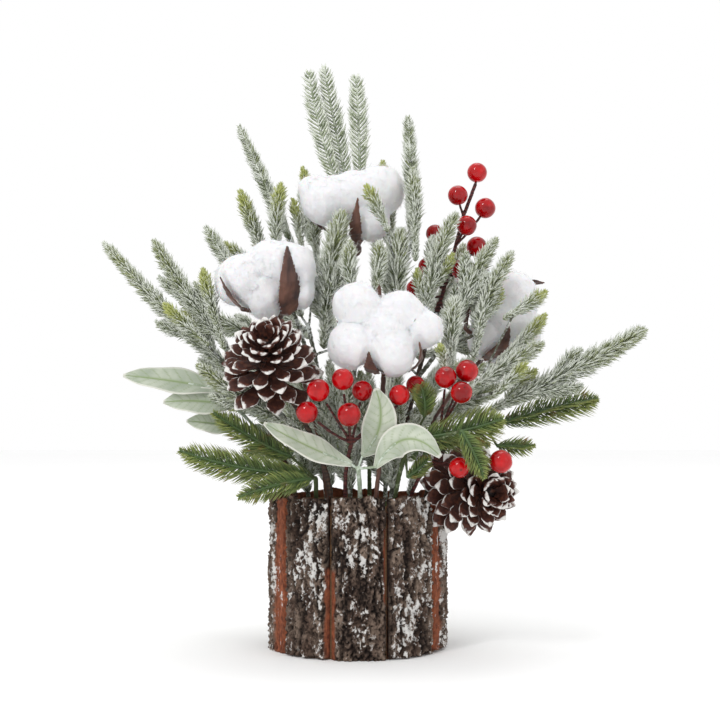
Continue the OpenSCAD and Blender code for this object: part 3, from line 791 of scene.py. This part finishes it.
def berry(middle, radius, stalk):
    """A round berry with a small dark navel away from its stalk."""
    rows, columns = 22, 28
    away = unit(middle - stalk)
    side = unit(np.cross(away, [0.2, 0.4, 0.9]))
    face = np.cross(side, away)
    polar = np.linspace(0, math.pi, rows)
    dent = 1 - 0.10 * np.exp(-(polar / 0.16) ** 2) - 0.07 * np.exp(-((math.pi - polar) / 0.22) ** 2)
    nub = 0.05 * np.exp(-(polar / 0.07) ** 2)
    points, marks = [], []
    for i, p in enumerate(polar):
        for j in range(columns):
            a = 2 * math.pi * j / columns
            way = away * math.cos(p) + (side * math.cos(a) + face * math.sin(a)) * max(math.sin(p), 1e-3)
            wobble = 1 + 0.015 * noise.noise(Vector(middle * 700 + way * 1.3))
            points.append(middle + way * radius * (dent[i] + nub[i]) * wobble)
            marks.append(math.exp(-(p / 0.13) ** 4))
    faces = grid_faces(rows, columns, closed=True)
    return np.array(points), faces, {"navel": np.array(marks)}


for node in sorted(n for n in nodes if n.endswith("_berries")):
    stalks = welded(node.replace("_berries", "_stem"))[0]
    parts = []
    for points, _ in islands(node):
        middle = (points.min(0) + points.max(0)) / 2
        radius = (points.max(0) - points.min(0)).mean() / 2
        near = stalks[np.argsort(np.linalg.norm(stalks - middle, axis=1))[:12]]
        parts.append(berry(middle, radius, near.mean(0)))
    points, faces, marks = gather(parts)
    piece(node.replace("_berries", "_fruit"), points, faces, BERRY, [node], **marks)


# ---- Pine cones ----

def cone_scale(reach, width, lift):
    """A woody scale with a thick, rounded, slightly hooked end; +X outward, +Z to the apex."""
    rows, columns = 12, 9
    t = np.linspace(0, 1, rows)
    half = width / 2 * np.interp(t, [0, 0.3, 0.6, 0.82, 0.94, 1], [0.34, 0.46, 0.72, 0.95, 0.72, 0.3])
    thick = np.interp(t, [0, 0.5, 0.82, 0.95, 1], [0.8, 0.7, 1.7, 1.5, 0.6])
    v = np.linspace(-1, 1, columns)
    x = 1 + (reach - 1) * t[:, None] - 0.14 * width * (v[None] ** 2) * (t[:, None] > 0.7)
    cup = 0.09 * half[:, None] * (v[None] ** 2) * 2 + 1.3 * t[:, None] ** 3
    keel = 0.5 * np.exp(-(v[None] / 0.3) ** 2) * np.exp(-((t[:, None] - 0.86) / 0.08) ** 2)
    body_half = thick[:, None] * np.sqrt(np.clip(1 - v[None] ** 6, 0.03, 1)) / 2
    y = half[:, None] * v[None]
    top = np.stack([x, y, cup + body_half + keel], -1)
    low = np.stack([x, y, cup - body_half - keel * 0.6], -1)
    points = np.concatenate([top.reshape(-1, 3), low.reshape(-1, 3)])
    c, s = math.cos(lift), math.sin(lift)
    points = points @ np.array([[c, 0, s], [0, 1, 0], [-s, 0, c]])
    end = np.clip((t[:, None] - 0.80) / 0.14, 0, 1)
    sides = np.clip((np.abs(v)[None] - 0.75) / 0.2, 0, 1) * np.clip((t[:, None] - 0.5) * 4, 0, 1)
    rim = np.maximum(end, sides)
    marks = {"rim": np.tile(rim.ravel(), 2), "along": np.tile(np.repeat(t, columns), 2)}
    return points, slab_faces(rows, columns), marks


def pine_cone(node, wire, reach):
    """Opened scales in a spiral round a core, from the wire to the apex; reach in mm."""
    low, high = (np.array(v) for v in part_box(node))
    centre = (low + high) / 2
    ends = welded(wire)[0]
    foot = ends[np.argsort(np.linalg.norm(ends - centre, axis=1))[:6]].mean(0)
    up = unit(centre - foot)
    side = unit(np.cross(up, [0.1, 0.2, 0.97]))
    turn = np.stack([side, np.cross(up, side), up])
    length, count = 40.0, 68
    parts = []
    for k in range(count):
        t = k / (count - 1)
        size = reach - 12 * t ** 2.0 + rng.uniform(-1.6, 0.6)
        width = 9.6 - 4.4 * t + rng.normal(0, 0.4)
        p, f, a = cone_scale(size, width, math.radians(-10 + 66 * t + rng.normal(0, 5)))
        p[:, 2] += 3 + length * 0.72 * t - length / 2
        angle = GOLDEN * k + rng.normal(0, 0.07)
        c, s = math.cos(angle), math.sin(angle)
        p = p @ np.array([[c, s, 0], [-s, c, 0], [0, 0, 1]])
        parts.append((centre + p * MM @ turn, f, a))
    line = centre + np.linspace(-length / 2, length * 0.36, 12)[:, None] * MM * up
    p, f = tube(line, np.linspace(6.5, 2.5, 12) * MM, 12)
    parts.append((p, f, {"rim": np.zeros(len(p)), "along": np.zeros(len(p))}))
    points, faces, marks = gather(parts)
    piece(node + "_scales", points, faces, CONE, [node], **marks)


# The right cone is slimmer, because it bends towards the pot.
pine_cone("pine_cone_left", "pine_cone_left_wire", 24.4)
pine_cone("pine_cone_right", "pine_cone_right_wire", 23.4)


# ---- Pot ----

# Raw edges of the bark: strip, first and last place across it, and lowest and highest place up it.
RAW = [(1, -0.1, 0.16, 0.0, 1.0), (1, 0.62, 1.1, 0.0, 1.0), (2, 0.93, 1.1, 0.0, 0.55),
       (3, -0.1, 0.10, 0.0, 0.55), (3, 0.94, 1.1, 0.35, 0.8), (4, 0.93, 1.1, 0.0, 1.0),
       (5, -0.1, 0.26, 0.0, 1.0), (7, -0.1, 0.1, 0.0, 0.7), (9, 0.9, 1.1, 0.3, 1.0)]


def rawness(number, seed, across, up, height):
    """How bare of bark a place on a strip is, from 0 to 1."""
    raw, fade = 0.0, 0.03
    for strip, left, right, low, high in RAW:
        if strip == number:
            wander = 1.2 * noise.noise(Vector((height * 0.12, seed, strip)))
            inside = min(across - left, right - across) / fade + wander
            tall = min(up - low, high - up) / fade
            raw = max(raw, min(1.0, max(0.0, min(inside, tall + 0.5))))
    return raw


def crust(x, y, seed):
    """Plates between the cracks, broad swells and fine grain of bark at a place in mm."""
    bend = 2.2 * noise.noise(Vector((x * 0.09, y * 0.06, seed)))
    big = noise.noise(Vector(((x + bend) * 0.22, y * 0.055, seed)))
    crack = abs(noise.noise(Vector(((x + bend) * 0.17, y * 0.035, seed + 9))))
    cross = abs(noise.noise(Vector((x * 0.10, (y + bend * 2) * 0.13, seed + 21))))
    fine = noise.fractal(Vector((x * 0.9, y * 0.55, seed)), 0.6, 2.2, 5)
    plate = min(1.0, crack * 5.0) * min(1.0, 0.45 + cross * 4.0)
    return min(1.0, max(0.0, plate + 0.55 * fine)), big, fine


def bark(number):
    """One strip of bark, with cracked plates outside, raw wood at some edges and a plain back."""
    node = f"bark_strip_{number:02d}"
    points, _ = welded(node)
    spread = np.arctan2(points[:, 0], -points[:, 1])
    middle = math.atan2(np.sin(spread).mean(), np.cos(spread).mean())
    offset = (spread - middle + math.pi) % (2 * math.pi) - math.pi
    first, last = middle + offset.min(), middle + offset.max()
    foot, head = points[:, 2].min(), points[:, 2].max()
    outer = np.hypot(points[:, 0], points[:, 1]).max()
    inner = outer - 4.7 * MM
    columns, rows = 46, 120
    u, w = np.linspace(0, 1, columns), np.linspace(0, 1, rows)
    top, marks = np.empty((rows, columns, 3)), np.zeros((3, rows, columns))
    seed = number * 17.3
    for j in range(columns):
        ragged = 1.6 * MM * (noise.noise(Vector((u[j] * 5, seed, 0))) - 0.4)
        ragged = ragged + 0.7 * MM * noise.noise(Vector((u[j] * 17, seed, 3)))
        a = first + (last - first) * u[j]
        edge = min(u[j], 1 - u[j]) * (last - first) * outer / MM
        rounded = max(0.0, 1 - edge / 2.6) ** 2
        for i in range(rows):
            z = foot + (head + min(ragged, 0.3 * MM) - foot) * w[i]
            x, y = a * outer * 1000, z * 1000
            plate, big, fine = crust(x, y, seed)
            raw = rawness(number, seed, u[j], w[i], y)
            depth = 2.9 - 1.9 * plate - 1.0 * big - 1.1 * fine
            depth = max(0.05, depth) * (1 - raw) + raw * (2.4 + 0.25 * fine)
            depth = min(4.0, depth + rounded * 1.8)
            r = outer - depth * MM
            top[i, j] = (r * math.sin(a), -r * math.cos(a), z)
            marks[0, i, j] = min(1.0, max(0.0, 1.2 * plate - 0.1 + 0.5 * fine)) * (1 - rounded * 0.8)
            marks[1, i, j] = raw
            marks[2, i, j] = 0.5 + 0.9 * noise.noise(Vector((x * 0.07, y * 0.03, seed + 40)))
    a = first + (last - first) * u
    back = np.empty((rows, columns, 3))
    back[:, :, 0] = inner * np.sin(a)
    back[:, :, 1] = -inner * np.cos(a)
    back[:, :, 2] = top[:, :, 2]
    points = np.concatenate([top.reshape(-1, 3), back.reshape(-1, 3)])
    behind = np.zeros(rows * columns)
    ridge, cambium, snow = (marks[k].ravel() for k in range(3))
    piece(f"bark_{number:02d}", points, slab_faces(rows, columns), BARK, [node],
          ridge=np.concatenate([ridge, behind]), cambium=np.concatenate([cambium, behind + 0.8]),
          snow=np.concatenate([snow, behind]))


for number in range(1, 11):
    bark(number)


def foam():
    """The block of foam, with a pitted top."""
    low, high = (np.array(v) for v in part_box("floral_foam"))
    radius = (high[0] - low[0]) / 2
    rows, columns = 44, 120
    turns = [2 * math.pi * j / columns for j in range(columns)]
    points = [[0, 0, high[2] - 0.4 * MM]]
    for i in range(1, rows):
        r = radius * i / (rows - 1)
        for a in turns:
            pit = noise.fractal(Vector((r * math.cos(a) * 900, r * math.sin(a) * 900, 0.3)), 0.9, 2.0, 3)
            points.append([r * math.cos(a), r * math.sin(a), high[2] - 0.5 * MM - abs(pit) * 0.9 * MM])
    for z in (high[2] - 3 * MM, low[2]):
        points += [[radius * math.cos(a), radius * math.sin(a), z] for a in turns]
    faces = [[0, 1 + j, 1 + (j + 1) % columns] for j in range(columns)]
    faces += [[1 + i for i in f] for f in grid_faces(rows + 1, columns, closed=True)]
    faces.append([1 + rows * columns + j for j in range(columns)])
    piece("foam_block", np.array(points), faces, FOAM, ["floral_foam"])


foam()
for node, paint in (("pot_liner", CARD), ("pot_base", WOOD)):
    nodes[node].data.materials.clear()
    nodes[node].data.materials.append(paint)


# ---- Wires at the bends ----

lower_wires = islands("bend_wires")
collar_paints = {"cone": TAPE, "berry": BERRY_STEM, "lambs": FELT_STEM}


def nearest_first(points, place):
    """Points sorted by their distance from a place."""
    return points[np.argsort(np.linalg.norm(points - place, axis=1))]


for joint in frame["joints"]:
    pivot = np.array(joint["pos_m"])
    wire = min(lower_wires, key=lambda w: np.linalg.norm(w[0] - pivot, axis=1).min())[0]
    upper = next(n for n in nodes if body[n] == joint["child"] and n.endswith(("_stem", "_wire")))
    # A lower wire's end ring has 6 points; the upper one's end is read from its 5 nearest.
    below = nearest_first(wire, pivot)
    start = below[:6].mean(0)
    end = nearest_first(welded(upper)[0], pivot)[:5].mean(0)
    down = unit(below[6:12].mean(0) - start)
    rise = unit(end - pivot)
    path = [start + down * 4 * MM, start + down * 1.5 * MM, pivot]
    path += [end + rise * 1.0 * MM, end + rise * 2.5 * MM]
    line = smooth(path, np.linspace(0, 1, 22))
    swell = 1.45 + 0.12 * np.sin(np.arange(22) * 1.9)
    swell[0] = swell[-1] = 1.0
    points, faces = tube(line, swell * MM, 12)
    paint = collar_paints.get(joint["name"].split("_")[0], FLOCK)
    collar = piece(joint["name"] + "_collar", points, faces, paint)
    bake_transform(collar)


# ---- Floor, light and camera ----

def stage_floor():
    p = Paint("floor", Roughness=0.9, Specular_IOR_Level=0.1)
    material = p.finish(p.mix(p.speckle(3.0), rgb(250, 250, 250), rgb(252, 252, 252)))
    bpy.ops.mesh.primitive_plane_add(size=8, location=(0, 0, 0))
    floor = bpy.context.object
    floor.name = "floor"
    floor.data.materials.append(material)


def light(name, place, size, power):
    """A soft round lamp that looks at the middle of the tree."""
    lamp = bpy.data.lights.new(name, "AREA")
    lamp.shape, lamp.size, lamp.energy = "DISK", size, power
    made = bpy.data.objects.new(name, lamp)
    made.location = place
    made.rotation_mode = "QUATERNION"
    made.rotation_quaternion = (Vector((0, 0, 0.15)) - Vector(place)).to_track_quat("-Z", "Y")
    bpy.context.scene.collection.objects.link(made)


stage_floor()
light("key", (-0.9, -1.3, 1.5), 0.45, 10)
light("fill", (1.4, -1.2, 0.7), 1.2, 1.5)
light("top", (0.1, 0.4, 1.8), 1.0, 5)

scene = bpy.context.scene
world = bpy.data.worlds.new("studio")
world.use_nodes = True
world.node_tree.nodes["Background"].inputs["Color"].default_value = (1, 1, 1, 1)
world.node_tree.nodes["Background"].inputs["Strength"].default_value = 1.0
scene.world = world
scene.view_settings.view_transform = "Standard"

camera = bpy.data.objects.new("camera", bpy.data.cameras.new("camera"))
camera.data.sensor_width = 36
camera.data.lens = 65
camera.data.clip_start, camera.data.clip_end = 0.05, 20
camera.location = (0, -0.65, 0.112)
camera.rotation_mode = "QUATERNION"
aim = Vector((0.001, 0, 0.1415)) - Vector(camera.location)
camera.rotation_quaternion = aim.to_track_quat("-Z", "Y")
scene.collection.objects.link(camera)
scene.camera = camera
